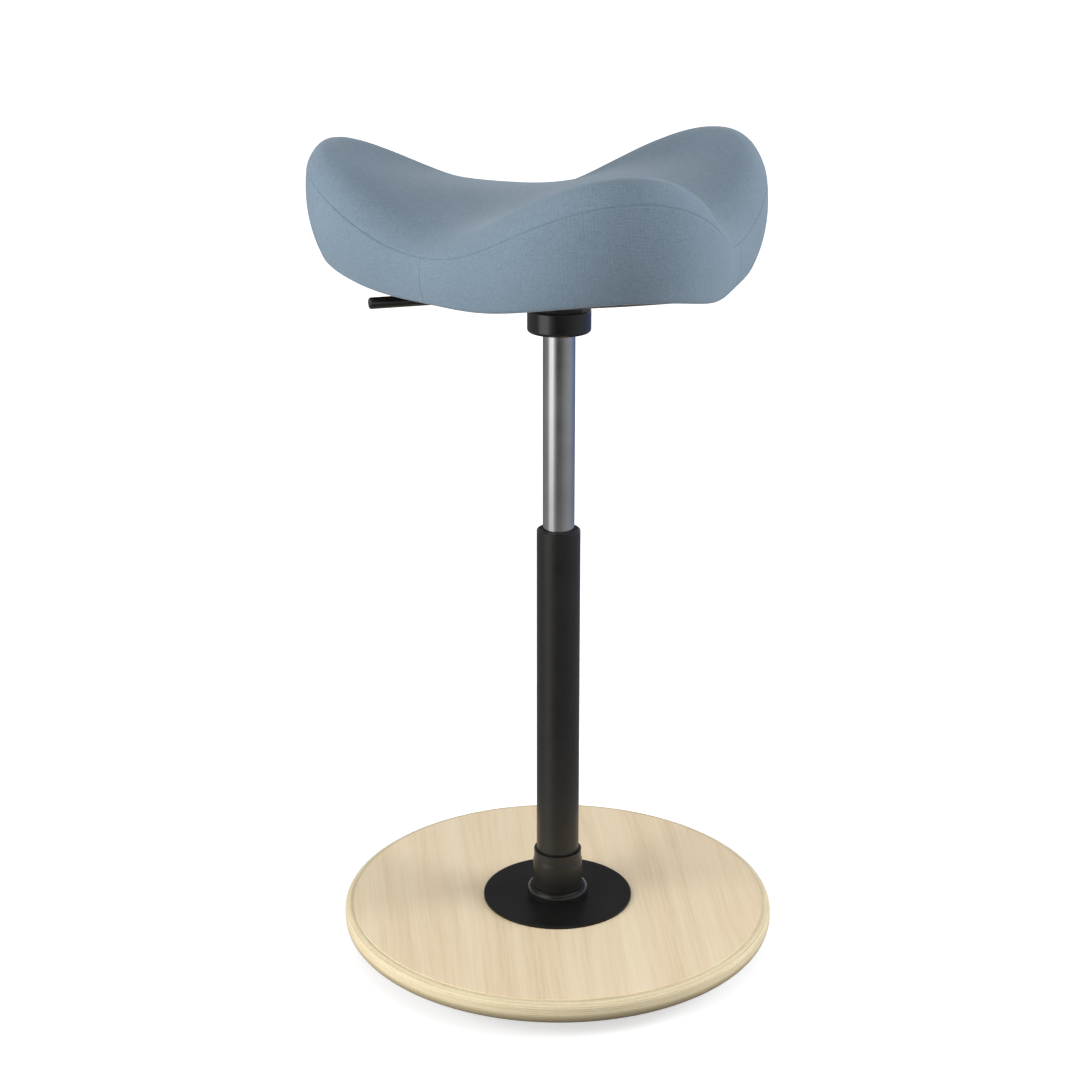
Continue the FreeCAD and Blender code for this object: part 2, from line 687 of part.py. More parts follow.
def build_lever_bracket():
    """Two cheeks under the plate, and the pin on which the lever tips."""
    axis_height = value(LEVER_AXIS)
    plate_height = value(PLATE_BOTTOM)
    crosswise = lever_turn(FreeCAD.Vector(-1, 0, 0))
    cheeks = []
    web_height = value("cheek_thickness")
    for side in (-1, 1):
        inner = side * value("cheek_gap") / 2
        near = min(inner, inner + side * value("cheek_thickness"))
        place = along_lever(value("pivot_place") - value("cheek_length") / 2, near,
                            axis_height - value("cheek_below_pivot"))
        cheeks.append(box("lever_cheek", "cheek_length", "cheek_thickness",
                          "hub_top - lever_height + cheek_below_pivot", place, lever_turn()))
    width = value("cheek_gap") + 2 * value("cheek_thickness")
    cheeks.append(box("cheek_web", "cheek_length", "cheek_gap + 2 * cheek_thickness", "cheek_thickness / 2",
                      along_lever(value("pivot_place") - value("cheek_length") / 2, -width / 2,
                                  plate_height - web_height / 2), lever_turn()))
    pin_bore = cylinder("cheek_bore", "pivot_radius", "4 * cheek_gap",
                        along_lever(value("pivot_place"), -2 * value("cheek_gap"), axis_height), crosswise)
    keep(cut("lever_bracket", fused("bracket_blank", cheeks), pin_bore))
    shank = cylinder("pin_shank", "pivot_radius", "cheek_gap + 2 * cheek_thickness + pin_showing",
                     along_lever(value("pivot_place"), -width / 2 - value("pin_showing"), axis_height), crosswise)
    head = cylinder("pin_head", "pivot_head_radius", "pivot_head_height",
                    along_lever(value("pivot_place"), width / 2, axis_height), crosswise)
    keep(fused("lever_pin", [shank, head]))


# seat forms: rings of arcs round the seat, lofted into skins and sewn into solids

def lobed(mean, swing, angle, fullness=None):
    """A size that is largest at the three lobes and smallest in the three valleys."""
    size = value(mean) + value(swing) * math.cos(3 * math.radians(angle))
    if fullness is not None:
        size += value(fullness) * math.cos(6 * math.radians(angle))
    return size


def seam_place(angle):
    """The seam's distance from the axis and its rise, the same for the crown and the side."""
    return (lobed("seam_radius", "seam_radius_swing", angle, "seam_radius_fullness"),
            lobed("seam_rise", "seam_rise_swing", angle, "seam_rise_fullness"))


def crown_point(share, angle):
    """A point of the seat's top, from the middle at share 0 to the seam at share 1."""
    seam_radius, seam_rise = seam_place(angle)
    crest = lobed("crest_rise", "crest_swing", angle)
    bend = share ** (math.log(0.5) / math.log(value("crest_place")))
    rise = value("crown_rise") + (seam_rise - value("crown_rise")) * share ** value("crown_power")
    return share * seam_radius, rise + 4 * crest * bend * (1 - bend)


def side_point(share, angle):
    """A point of the seat's side, from the seam at share 0 to the hem at share 1."""
    seam_radius, seam_rise = seam_place(angle)
    hem_rise = lobed("hem_rise", "hem_rise_swing", angle, "hem_rise_fullness")
    tuck = lobed("hem_inset", "hem_inset_swing", angle) * share ** value("hem_roundness")
    swell = 4 * value("side_swell") * share * (1 - share)
    return seam_radius + swell - tuck, seam_rise + (hem_rise - seam_rise) * share


def seat_point(station, angle):
    """Stations 0 to 1 run over the crown to the seam, and 1 to 2 down the side to the hem."""
    radius, rise = crown_point(station, angle) if station <= 1 else side_point(station - 1, angle)
    turn = math.radians(angle + value("front_lobe_direction"))
    return FreeCAD.Vector(radius * math.cos(turn), radius * math.sin(turn), rise + value(SHELL_BOTTOM))


def sunk_point(station, angle, depth):
    """The seat's point, sunk under its surface by a depth."""
    step = 0.02
    here = seat_point(station, angle)
    before = seat_point(max(station - step, 0.02), angle)
    after = seat_point(min(station + step, 2.0), angle)
    left = seat_point(station, angle - 1)
    right = seat_point(station, angle + 1)
    inward = (after - before).cross(right - left)
    inward.normalize()
    return here - inward * depth * (1 if inward.dot(here - VERTICAL * value(SHELL_BOTTOM)) > 0 else -1)


def ring_of_arcs(point_at):
    """A closed wire round the seat, of arcs through the points at each angle."""
    step = 360.0 / ARC_COUNT
    edges = []
    for index in range(ARC_COUNT):
        following = (index + 1) % ARC_COUNT
        ends = [point_at(index * step), point_at((index + 0.5) * step), point_at(following * step)]
        edges.append(Part.Arc(*ends).toShape())
    return Part.Wire(edges)


def surface_ring(station, depth):
    return ring_of_arcs(lambda angle: sunk_point(station, angle, depth))


def flat_ring(radius, height):
    def place(angle):
        turn = math.radians(angle + value("front_lobe_direction"))
        return FreeCAD.Vector(radius * math.cos(turn), radius * math.sin(turn), height)
    return ring_of_arcs(place)


def dish_ring(station, depth, flat_radius, centre_height, share, power):
    """A ring of a dished panel that is flat in the middle and rises to the rim at a station."""
    def place(angle):
        rim = sunk_point(station, angle, depth)
        rim_radius = math.hypot(rim.x, rim.y)
        radius = flat_radius + (rim_radius - flat_radius) * share
        scale = radius / rim_radius
        rise = centre_height + (rim.z - centre_height) * share ** power
        return FreeCAD.Vector(rim.x * scale, rim.y * scale, rise)
    return ring_of_arcs(place)


def dish_rings(station, depth, flat_radius, centre_height, power):
    rings = [flat_ring(flat_radius, centre_height)]
    for share in DISH_SHARES[:-1]:
        rings.append(dish_ring(station, depth, flat_radius, centre_height, share, power))
    rings.append(surface_ring(station, depth))
    return rings


def skin(rings, straight=False):
    """Faces over the rings; the low degree keeps them from swinging between rings."""
    return Part.makeLoft(rings, False, straight, False, LOFT_DEGREE).Faces


def sewn(faces):
    """One closed solid from faces that share their edges."""
    shell = Part.makeCompound(faces)
    shell.sewShape(1e-4)
    closed = shell.Shells[0]
    solid = Part.makeSolid(closed)
    if solid.Volume < 0:
        solid.reverse()
    return solid


def crown_rings(depth):
    middle = value(SHELL_BOTTOM) + value("crown_rise") - depth
    return [flat_ring(value("crown_flat_radius"), middle)] + [surface_ring(share, depth) for share in CROWN_SHARES]


def side_rings(start, end, depth):
    count = len(SIDE_SHARES)
    return [surface_ring(1 + start + (end - start) * index / (count - 1), depth) for index in range(count)]


def build_cover():
    """The fabric: a crown panel, and a side band sewn from three lengths that meet in the valleys."""
    cloth = value("cloth_thickness")
    outer = crown_rings(0)
    inner = crown_rings(cloth)
    faces = skin(outer) + skin(inner) + skin([outer[-1], inner[-1]], True)
    faces += [Part.Face(outer[0]), Part.Face(inner[0])]
    keep(shaped("top_cover", sewn(faces)))
    outside = side_rings(0, 1, 0)
    inside = side_rings(0, 1, cloth)
    faces = skin(outside) + skin(inside)
    faces += skin([outside[0], inside[0]], True) + skin([outside[-1], inside[-1]], True)
    band = sewn(faces)
    reach = 2 * (value("seam_radius") + value("seam_radius_swing"))
    bottom = value(SHELL_BOTTOM) - reach / 4
    for index, label in enumerate(("front_band", "right_band", "left_band")):
        start = value("front_lobe_direction") - 60 + 120 * index
        wedge = Part.makeCylinder(reach, reach, VERTICAL * bottom, VERTICAL, 120)
        wedge.rotate(ORIGIN, VERTICAL, start)
        keep(shaped(label, band.common(wedge).Solids[0]))


def build_padding():
    """The foam, and the moulded shell that it is glued on."""
    depth = value("cloth_thickness") + value("cloth_gap")
    shell_flat = value("shell_flat_radius")
    shell_floor = value(SHELL_BOTTOM)
    shell_top = shell_floor + value("shell_thickness")
    crown = crown_rings(depth)
    side = side_rings(0, FOAM_END, depth)
    foam_bed = dish_rings(1 + FOAM_END, depth, shell_flat, shell_top + value("cloth_gap"), SHELL_POWER)
    faces = skin(crown) + skin(side) + skin(foam_bed)
    faces += [Part.Face(crown[0]), Part.Face(foam_bed[0])]
    keep(shaped("foam_pad", sewn(faces)))
    edge = side_rings(SHELL_START, SHELL_END, depth)
    upper = dish_rings(1 + SHELL_START, depth, shell_flat, shell_top, SHELL_POWER)
    lower = dish_rings(1 + SHELL_END, depth, shell_flat, shell_floor, SHELL_POWER)
    faces = skin([edge[0], edge[-1]], True) + skin(upper) + skin(lower)
    faces += [Part.Face(upper[0]), Part.Face(lower[0])]
    shell = sewn(faces)
    for place in plate_corners(SHELL_BOTTOM):
        shell = shell.cut(Part.makeCylinder(value("tnut_radius"), 2 * value("shell_thickness"), place))
        rise = VERTICAL * (value("shell_thickness") - value("tnut_flange_thickness"))
        shell = shell.cut(Part.makeCylinder(value("tnut_flange_radius"), value("shell_thickness"), place + rise))
    return shell


def pan_screw_places():
    """A screw under each lobe and in each valley, set in from the rim of the underside cover."""
    depth = value("cloth_thickness") + value("cloth_gap")
    number = int(round(value("pan_screw_count")))
    flat_radius = value("pan_flat_radius")
    for index in range(number):
        angle = 360.0 * index / number
        rim = sunk_point(2.0, angle, depth)
        rim_radius = math.hypot(rim.x, rim.y)
        share = value("pan_screw_share")
        radius = flat_radius + (rim_radius - flat_radius) * share
        rise = value(PAN_BOTTOM) + (rim.z - value(PAN_BOTTOM)) * share ** PAN_POWER
        yield FreeCAD.Vector(rim.x * radius / rim_radius, rim.y * radius / rim_radius, rise)


def build_underside(shell):
    """The thin moulded cover under the seat, with its hub hole and lever slot, and its screws."""
    depth = value("cloth_thickness") + value("cloth_gap")
    flat = value("pan_flat_radius")
    floor = value(PAN_BOTTOM)
    upper = dish_rings(1 + PAN_START, depth, flat, floor + value("pan_thickness"), PAN_POWER)
    lower = dish_rings(2.0, depth, flat, floor, PAN_POWER)
    faces = skin(upper) + skin(lower) + skin([upper[-1], lower[-1]], True)
    faces += [Part.Face(upper[0]), Part.Face(lower[0])]
    pan = sewn(faces)
    reach = value("seam_radius")
    below = floor - reach / 2
    hub_hole = Part.makeCylinder(value("hub_radius") + value("pan_hub_gap"), reach, VERTICAL * below)
    slot_width = value("pan_slot_width")
    slot_length = reach - value("pan_slot_inset")
    slot = Part.makeBox(slot_length, slot_width, reach, FreeCAD.Vector(0, -slot_width / 2, below))
    room = value("bracket_room")
    bracket_width = value("cheek_gap + 2 * cheek_thickness + 2 * bracket_room")
    bracket_end = value("pivot_place + cheek_length / 2") + room
    window = Part.makeBox(bracket_end, bracket_width, reach, FreeCAD.Vector(0, -bracket_width / 2, below))
    opening = slot.fuse(window)
    opening.rotate(ORIGIN, VERTICAL, value("lever_direction"))
    pan = pan.cut(hub_hole).cut(opening)
    screws = []
    for place in pan_screw_places():
        foot = place - VERTICAL * value("pan_screw_head_showing")
        head = Part.makeCylinder(value("pan_screw_head_radius"), value("pan_screw_head_height"), foot)
        inside = Part.makeLine(foot, foot + VERTICAL * value("crown_rise")).common(shell)
        shell_underside = min(vertex.Z for vertex in inside.Vertexes)
        shank = Part.makeCylinder(
            value("pan_screw_radius"), shell_underside - foot.z + value("pan_screw_bite"), foot)
        screw = head.fuse(shank).removeSplitter()
        pan = pan.cut(screw)
        shell = shell.cut(shank)
        screws.append(screw)
    keep(shaped("seat_shell", shell.Solids[0]))
    keep(shaped("underside_cover", pan.Solids[0]))
    keep(shaped("cover_screws", Part.makeCompound(screws)))


def write_parts():
    doc.recompute()
    for item in doc.Objects:
        if "Invalid" in item.State or "Error" in item.State:
            raise RuntimeError("%s failed: %s" % (item.Label, item.State))
    os.makedirs("parts", exist_ok=True)
    for item in parts:
        if item.Shape.isNull() or not item.Shape.isValid():
            raise RuntimeError("%s has no valid shape" % item.Label)
        item.Shape.exportStep("parts/%s.step" % item.Label)
        print("%-18s solids %2d volume %12.1f" % (item.Label, len(item.Shape.Solids), item.Shape.Volume))


def main():
    build_tilt_ring()
    build_base()
    build_flange()
    build_stand_tube()
    build_bearing()
    build_rod()
    build_cylinder()
    build_hub()
    build_plate()
    build_lever()
    build_lever_bracket()
    build_cover()
    build_underside(build_padding())
    write_parts()


main()
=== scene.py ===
"""Looks of the perch stool: upholstery, wood, chrome, paint and plastic over the fixed frame.

Lengths are in metres, in the frame's own axes: +Z up the column, with the photographed side at -Y.
"""

import json
import math

import bmesh
import bpy
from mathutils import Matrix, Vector


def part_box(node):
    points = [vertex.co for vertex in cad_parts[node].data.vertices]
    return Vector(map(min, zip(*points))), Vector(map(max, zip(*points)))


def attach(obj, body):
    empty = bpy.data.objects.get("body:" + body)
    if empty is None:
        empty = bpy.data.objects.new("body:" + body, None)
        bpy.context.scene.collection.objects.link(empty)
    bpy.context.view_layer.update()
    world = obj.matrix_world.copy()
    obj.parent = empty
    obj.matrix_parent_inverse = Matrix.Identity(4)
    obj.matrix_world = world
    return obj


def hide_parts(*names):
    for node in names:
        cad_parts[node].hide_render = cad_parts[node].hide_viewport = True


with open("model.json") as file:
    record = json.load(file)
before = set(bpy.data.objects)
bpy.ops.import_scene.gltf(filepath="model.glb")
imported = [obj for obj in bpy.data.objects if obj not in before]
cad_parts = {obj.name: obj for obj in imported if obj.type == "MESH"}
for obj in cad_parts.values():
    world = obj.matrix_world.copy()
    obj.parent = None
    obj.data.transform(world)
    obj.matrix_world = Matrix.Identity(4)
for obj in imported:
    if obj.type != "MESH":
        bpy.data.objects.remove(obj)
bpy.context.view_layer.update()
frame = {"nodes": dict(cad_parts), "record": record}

MM = 0.001


def low(node):
    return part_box(node)[0]


def high(node):
    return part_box(node)[1]


# seat form, the same as the frame's: three lobes round the column's axis

FRONT_LOBE = math.radians(-76.0)
SHELL_FLOOR = high("seat_plate").z
SEAM_RADIUS, SEAM_RADIUS_SWING, SEAM_RADIUS_FULLNESS = 0.1890, 0.0344, 0.0030
SEAM_RISE, SEAM_RISE_SWING, SEAM_RISE_FULLNESS = 0.0600, 0.0294, 0.0038
CROWN_RISE, CROWN_POWER = 0.0753, 2.5
CREST_RISE, CREST_SWING, CREST_PLACE = 0.0135, 0.0084, 0.90
HEM_RISE, HEM_RISE_SWING, HEM_RISE_FULLNESS = 0.0045, 0.0097, 0.0024
HEM_INSET, HEM_INSET_SWING, HEM_ROUNDNESS = 0.0073, 0.0046, 2.4
SIDE_SWELL = 0.0011

# how far apart, in shares and in radians, the points lie that a normal is taken from
NORMAL_STEP = 0.004
NEAREST_TO_POLE = 0.001


def lobed(mean, swing, angle, fullness=0.0):
    return mean + swing * math.cos(3 * angle) + fullness * math.cos(6 * angle)


def seam_place(angle):
    radius = lobed(SEAM_RADIUS, SEAM_RADIUS_SWING, angle, SEAM_RADIUS_FULLNESS)
    rise = lobed(SEAM_RISE, SEAM_RISE_SWING, angle, SEAM_RISE_FULLNESS)
    return radius, rise


def bulge(share):
    """0 at both ends of a share from 0 to 1, and 1 at its middle."""
    return 4 * share * (1 - share)


def on_seat(angle, radius, rise):
    turn = angle + FRONT_LOBE
    return Vector((radius * math.cos(turn), radius * math.sin(turn), rise + SHELL_FLOOR))


def crown_point(share, angle):
    """From the middle of the seat's top at share 0 to the seam at share 1."""
    seam_radius, seam_rise = seam_place(angle)
    crest = lobed(CREST_RISE, CREST_SWING, angle)
    bend = share ** (math.log(0.5) / math.log(CREST_PLACE))
    rise = CROWN_RISE + (seam_rise - CROWN_RISE) * share ** CROWN_POWER
    return on_seat(angle, share * seam_radius, rise + crest * bulge(bend))


def side_point(share, angle):
    """From the seam at share 0 down to the hem at share 1."""
    seam_radius, seam_rise = seam_place(angle)
    hem_rise = lobed(HEM_RISE, HEM_RISE_SWING, angle, HEM_RISE_FULLNESS)
    tuck = lobed(HEM_INSET, HEM_INSET_SWING, angle) * share ** HEM_ROUNDNESS
    swell = SIDE_SWELL * bulge(share)
    return on_seat(angle, seam_radius + swell - tuck, seam_rise + (hem_rise - seam_rise) * share)


def surface_normal(point_at, share, angle):
    """Unit normal that points out of the seat."""
    before = point_at(max(share - NORMAL_STEP, NEAREST_TO_POLE), angle)
    after = point_at(min(share + NORMAL_STEP, 1.0), angle)
    beside = max(share, NORMAL_STEP)
    left = point_at(beside, angle - NORMAL_STEP)
    right = point_at(beside, angle + NORMAL_STEP)
    return (after - before).cross(right - left).normalized()


# materials: shader maths as Python expressions

# a noise stays mostly between these two values
NOISE_LOW, NOISE_HIGH = 0.3, 0.7

THREAD = 1.05 * MM
# how many degrees the veneer's grain is turned from straight front to back
GRAIN_TURN = -5.5
# the disc's plies: one light and one dark line together, and how far they waver
PLY_PAIR = 1.9 * MM
PLY_WAVER = 1.2 * MM


def rgb(red, green, blue):
    """A colour from display values of 0 to 255."""
    def linear(value):
        share = value / 255
        return share / 12.92 if share <= 0.04045 else ((share + 0.055) / 1.055) ** 2.4
    return (linear(red), linear(green), linear(blue), 1.0)


def grey(level):
    return (level, level, level, 1.0)


class Wire:
    """A socket of a node tree, with arithmetic that adds Math nodes."""

    def __init__(self, maker, socket):
        self.maker = maker
        self.socket = socket

    def math(self, operation, *others):
        inputs = dict(enumerate((self,) + others))
        return self.maker.node("ShaderNodeMath", {"operation": operation}, inputs)

    def __add__(self, other):
        return self.math("ADD", other)

    def __sub__(self, other):
        return self.math("SUBTRACT", other)

    def __mul__(self, other):
        return self.math("MULTIPLY", other)


class Nodes:
    """An emptied node tree and the helpers that wire new nodes in it."""

    def __init__(self, tree):
        self.tree = tree
        tree.nodes.clear()

    def feed(self, socket, source):
        if isinstance(source, Wire):
            self.tree.links.new(source.socket, socket)
        else:
            socket.default_value = source

    def node(self, kind, settings=None, inputs=None, output=0):
        node = self.tree.nodes.new(kind)
        for key, setting in (settings or {}).items():
            setattr(node, key, setting)
        for key, source in (inputs or {}).items():
            self.feed(node.inputs[key], source)
        return Wire(self, node.outputs[output])

    def moved(self, vector, scale=(1, 1, 1), turn=(0, 0, 0)):
        return self.node("ShaderNodeMapping", {}, {
            "Vector": vector, "Scale": scale, "Rotation": turn})

    def axis(self, vector, name):
        return self.node("ShaderNodeSeparateXYZ", {}, {0: vector}, output=name)

    def vector_math(self, operation, *vectors, output=0):
        inputs = dict(enumerate(vectors))
        return self.node("ShaderNodeVectorMath", {"operation": operation}, inputs, output)

    def noise(self, vector, scale, detail=4.0, roughness=0.5):
        return self.node("ShaderNodeTexNoise", {}, {
            "Vector": vector, "Scale": scale, "Detail": detail, "Roughness": roughness})

    def cells(self, vector, scale):
        return self.node("ShaderNodeTexVoronoi", {}, {"Vector": vector, "Scale": scale})

    def ramp(self, factor, *stops):
        """A colour ramp from pairs of a place and a linear colour."""
        ramp = self.node("ShaderNodeValToRGB", {}, {0: factor})
        elements = ramp.socket.node.color_ramp.elements
        while len(elements) < len(stops):
            elements.new(0.5)
        for element, (place, color) in zip(elements, stops):
            element.position = place
            element.color = color
        return ramp

    def ranged(self, factor, low_in, high_in, low_out, high_out):
        return self.node("ShaderNodeMapRange", {"clamp": True}, {
            "Value": factor, "From Min": low_in, "From Max": high_in,
            "To Min": low_out, "To Max": high_out})

    def mixed(self, factor, first, second, blend="MIX"):
        return self.node("ShaderNodeMix", {"data_type": "RGBA", "blend_type": blend},
                         {"Factor": factor, 6: first, 7: second}, output=2)


class Finish(Nodes):
    """One material and the helpers for its look."""

    def __init__(self, name):
        self.material = bpy.data.materials.new(name)
        self.material.use_nodes = True
        super().__init__(self.material.node_tree)
        output = self.tree.nodes.new("ShaderNodeOutputMaterial")
        self.shader = self.tree.nodes.new("ShaderNodeBsdfPrincipled")
        self.tree.links.new(self.shader.outputs[0], output.inputs[0])

    def set(self, **inputs):
        for key, source in inputs.items():
            self.feed(self.shader.inputs[key.replace("_", " ")], source)

    def place(self):
        return self.node("ShaderNodeTexCoord", output="Object")

    def tones(self, factor, *stops):
        """A colour ramp from pairs of a place and a colour in display values."""
        return self.ramp(factor, *((place, rgb(*color)) for place, color in stops))

    def shaded(self, noise, dark, light):
        return self.tones(noise, (NOISE_LOW, dark), (NOISE_HIGH, light))

    def between(self, noise, least, most):
        return self.ranged(noise, NOISE_LOW, NOISE_HIGH, least, most)

    def bump(self, height, strength, distance):
        return self.node("ShaderNodeBump", {}, {
            "Height": height, "Strength": strength, "Distance": distance})


def woven_fabric():
    """Plain weave in dusty blue: thread bump on the panel's own map, in millimetres."""
    finish = Finish("woven_fabric")
    cloth_map = finish.node("ShaderNodeUVMap", {"uv_map": "cloth"})
    half_waves = math.pi / (THREAD / MM)
    wander = finish.noise(finish.place(), 260.0, 2.0) * 1.2
    warp = (finish.axis(cloth_map, "X") * half_waves + wander).math("SINE")
    weft = (finish.axis(cloth_map, "Y") * half_waves + wander).math("SINE")
    over = (warp * weft).math("ABSOLUTE")
    slub = finish.noise(finish.moved(cloth_map, (0.14, 1.9, 1)), 1.0, 3.0)
    slub_up = finish.noise(finish.moved(cloth_map, (1.9, 0.14, 1)), 1.0, 3.0)
    cloud = finish.noise(finish.place(), 14.0, 3.0)
    fuzz = finish.noise(finish.place(), 900.0, 3.0)
    tone = over * 0.24 + slub * 0.34 + slub_up * 0.22 + fuzz * 0.26 + cloud * 0.12
    height = over * 0.55 + slub * 0.3 + fuzz * 0.5
    finish.set(
        Base_Color=finish.tones(
            tone, (0.36, (88, 103, 116)), (0.58, (113, 130, 144)), (0.80, (138, 155, 169))),
        Roughness=0.92, Normal=finish.bump(height, 0.45, 0.35 * MM), Specular_IOR_Level=0.18,
        Sheen_Weight=0.35, Sheen_Roughness=0.5, Sheen_Tint=rgb(214, 226, 236))
    return finish.material


def lacquered_veneer():
    """Pale straight grain that runs front to back, under satin lacquer."""
    finish = Finish("lacquered_veneer")
    place = finish.moved(finish.place(), turn=(0, 0, math.radians(GRAIN_TURN)))
    drift = finish.noise(finish.moved(place, (5.0, 1.2, 1.0)), 1.0, 2.0)
    aside = finish.node("ShaderNodeCombineXYZ", {}, {0: (drift - 0.5) * 0.05})
    bent = finish.vector_math("ADD", place, aside)
    broad = finish.noise(finish.moved(bent, (26.0, 0.9, 1.0)), 1.0, 4.0, 0.6)
    fine = finish.noise(finish.moved(bent, (240.0, 5.0, 1.0)), 1.0, 5.0, 0.65)
    pores = finish.noise(finish.moved(bent, (900.0, 22.0, 1.0)), 1.0, 2.0, 0.5)
    finish.set(
        Base_Color=finish.tones(
            broad * 0.55 + fine * 0.33 + pores * 0.12,
            (0.36, (218, 196, 161)), (0.48, (235, 214, 180)), (0.66, (244, 229, 197))),
        Roughness=finish.between(fine, 0.42, 0.52),
        Normal=finish.bump(fine * 0.6 + pores * 0.4, 0.10, 0.12 * MM),
        Coat_Weight=0.22, Coat_Roughness=0.28, Specular_IOR_Level=0.4)
    return finish.material


def plywood_edge():
    """Thin layers round the disc's edge, with shade painted on its lower half."""
    finish = Finish("plywood_edge")
    place = finish.place()
    rise = finish.axis(place, "Z")
    waver = finish.noise(finish.moved(place, (7.0, 7.0, 30.0)), 1.0, 2.0)
    layer = ((rise + (waver - 0.5) * PLY_WAVER) * (2 * math.pi / PLY_PAIR)).math("SINE")
    speck = finish.noise(finish.moved(place, (260.0, 260.0, 900.0)), 1.0, 3.0)
    long_grain = finish.noise(finish.moved(place, (30.0, 30.0, 1500.0)), 1.0, 3.0)
    tone = layer * 0.12 + speck * 0.3 + long_grain * 0.45 + 0.12
    layers = finish.tones(
        tone, (0.30, (199, 183, 149)), (0.52, (219, 205, 172)), (0.75, (231, 219, 189)))
    # painted shade: the edge's colour darkens from about its middle down to the disc's bottom
    painted_shade = finish.tones(
        finish.ranged(rise, low("base_disc").z, high("base_disc").z, 0.0, 1.0),
        (0.0, (158, 152, 142)), (0.42, (212, 208, 200)), (0.56, (252, 251, 248)))
    finish.set(
        Base_Color=finish.mixed(1.0, layers, painted_shade, "MULTIPLY"),
        Roughness=finish.between(speck, 0.48, 0.6),
        Normal=finish.bump(tone, 0.15, 0.15 * MM), Coat_Weight=0.12, Coat_Roughness=0.35)
    return finish.material


def black_paint(name, reflection, coat):
    """Powder coat with a very fine orange peel."""
    finish = Finish(name)
    peel = finish.noise(finish.place(), 700.0, 2.0)
    dust = finish.noise(finish.place(), 35.0, 4.0)
    finish.set(
        Base_Color=finish.shaded(dust, (19, 18, 17), (25, 24, 23)),
        Roughness=finish.between(dust, 0.34, 0.42), Normal=finish.bump(peel, 0.06, 0.1 * MM),
        Coat_Weight=coat, Coat_Roughness=0.2, Specular_IOR_Level=reflection)
    return finish.material


def gloss_black():
    """Shiny moulded plastic with faint smears."""
    finish = Finish("gloss_black")
    smear = finish.noise(finish.place(), 45.0, 4.0)
    mould = finish.noise(finish.place(), 1200.0, 2.0)
    finish.set(
        Base_Color=finish.shaded(smear, (17, 17, 18), (24, 24, 25)),
        Roughness=finish.between(smear, 0.12, 0.20), Normal=finish.bump(mould, 0.03, 0.05 * MM),
        Coat_Weight=0.4, Coat_Roughness=0.08)
    return finish.material


def glossy_weld():
    """Painted weld with the ripples that the torch left round it."""
    finish = Finish("glossy_weld")
    ripple = finish.noise(finish.place(), 110.0, 2.0)
    grit = finish.noise(finish.place(), 900.0, 2.0)
    finish.set(
        Base_Color=finish.shaded(ripple, (20, 19, 18), (28, 27, 26)),
        Roughness=finish.between(grit, 0.14, 0.22), Normal=finish.bump(ripple, 0.5, 1.2 * MM))
    return finish.material


def matt_grain(name, dark, light, smooth, rough):
    """Dull moulded plastic or board with a fine grain."""
    finish = Finish(name)
    grain = finish.noise(finish.place(), 1500.0, 3.0)
    cloud = finish.noise(finish.place(), 20.0, 3.0)
    finish.set(
        Base_Color=finish.shaded(cloud, dark, light),
        Roughness=finish.between(grain, smooth, rough), Normal=finish.bump(grain, 0.3, 0.12 * MM))
    return finish.material


def polished_chrome():
    """Bright chrome with faint lengthwise draw marks from the ground tube."""
    finish = Finish("polished_chrome")
    marks = finish.noise(finish.moved(finish.place(), (900.0, 900.0, 40.0)), 1.0, 3.0)
    haze = finish.noise(finish.place(), 30.0, 3.0)
    finish.set(
        Base_Color=finish.shaded(haze, (196, 197, 200), (210, 211, 213)), Metallic=1.0,
        Roughness=finish.between(haze, 0.16, 0.22), Normal=finish.bump(marks, 0.02, 0.05 * MM))
    return finish.material


def plated_steel():
    """Zinc plate with a faint spangle."""
    finish = Finish("plated_steel")
    spangle = finish.cells(finish.place(), 420.0)
    haze = finish.noise(finish.place(), 90.0, 4.0)
    finish.set(
        Base_Color=finish.mixed(spangle * 0.3, rgb(176, 178, 182), rgb(150, 153, 158)),
        Metallic=1.0, Roughness=finish.between(haze, 0.28, 0.42),
        Normal=finish.bump(haze, 0.05, 0.1 * MM))
    return finish.material


def matt_rubber():
    """Dark rubber, rubbed paler in places."""
    finish = Finish("matt_rubber")
    grain = finish.noise(finish.place(), 800.0, 4.0)
    wear = finish.noise(finish.place(), 40.0, 4.0)
    finish.set(
        Base_Color=finish.tones(wear, (0.3, (30, 30, 30)), (0.75, (46, 45, 44))),
        Roughness=finish.between(wear, 0.72, 0.86), Normal=finish.bump(grain, 0.25, 0.15 * MM))
    return finish.material


def raw_plywood():
    """Bare moulded plywood of the seat's shell."""
    finish = Finish("raw_plywood")
    grain = finish.noise(finish.moved(finish.place(), (20.0, 260.0, 260.0)), 1.0, 5.0)
    finish.set(
        Base_Color=finish.shaded(grain, (186, 152, 108), (212, 183, 140)),
        Roughness=0.75, Normal=finish.bump(grain, 0.2, 0.2 * MM))
    return finish.material


def pale_foam():
    """Open-celled foam."""
    finish = Finish("pale_foam")
    pores = finish.cells(finish.place(), 700.0)
    cloud = finish.noise(finish.place(), 12.0, 3.0)
    finish.set(
        Base_Color=finish.shaded(cloud, (214, 204, 176), (226, 218, 194)),
        Roughness=0.95, Normal=finish.bump(pores, 0.5, 0.4 * MM))
    return finish.material


FABRIC = woven_fabric()

